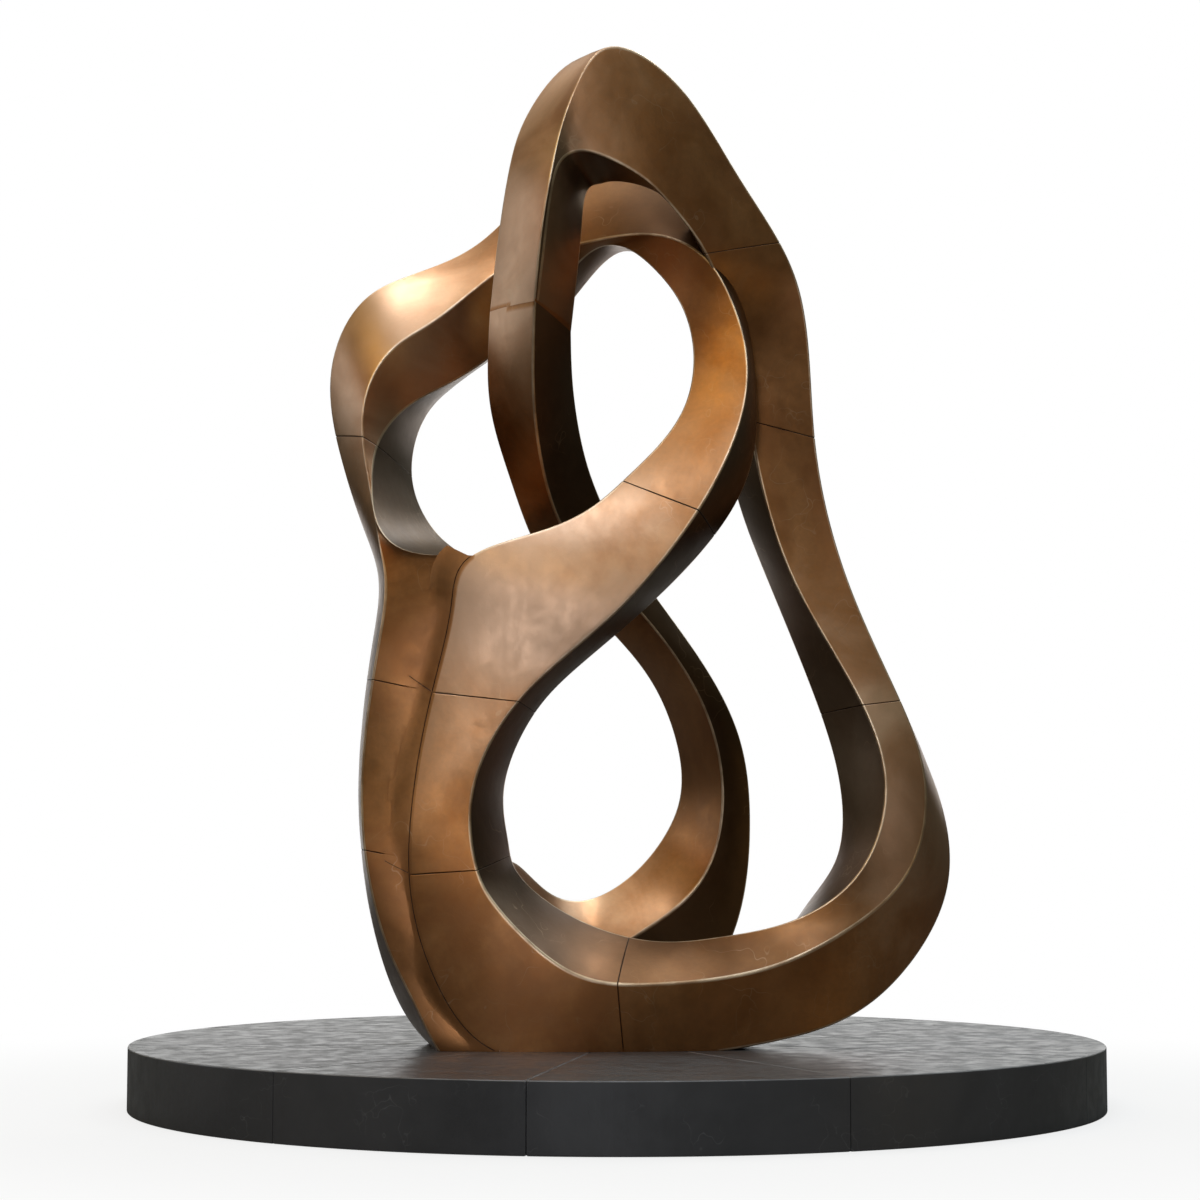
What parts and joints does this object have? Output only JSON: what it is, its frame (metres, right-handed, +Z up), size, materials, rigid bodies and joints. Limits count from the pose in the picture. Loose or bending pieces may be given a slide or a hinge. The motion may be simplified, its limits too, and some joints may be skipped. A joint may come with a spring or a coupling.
{
  "type": "abstract metal sculpture",
  "caption": "Tall abstract bronze sculpture, a closed four-edged ribbon looping over itself, standing on a low round plinth of dark stone slabs.",
  "frame": {"origin": "centre of the plinth's underside", "axes": "+Z up, +X to the right of a viewer who stands in front, +Y away from that viewer"},
  "size_m": [2.45, 2.4499, 2.714],
  "materials": {
    "patinated_bronze": "satin",
    "dark_stone": "satin"
  },
  "bodies": {
    "root": {"bronze_band": "patinated_bronze", "plinth_slab_1": "dark_stone", "plinth_slab_2": "dark_stone", "plinth_slab_3": "dark_stone", "plinth_slab_4": "dark_stone", "plinth_slab_5": "dark_stone", "plinth_slab_6": "dark_stone", "plinth_slab_7": "dark_stone", "plinth_slab_8": "dark_stone", "plinth_slab_9": "dark_stone", "plinth_slab_10": "dark_stone"}
  },
  "joints": []
}
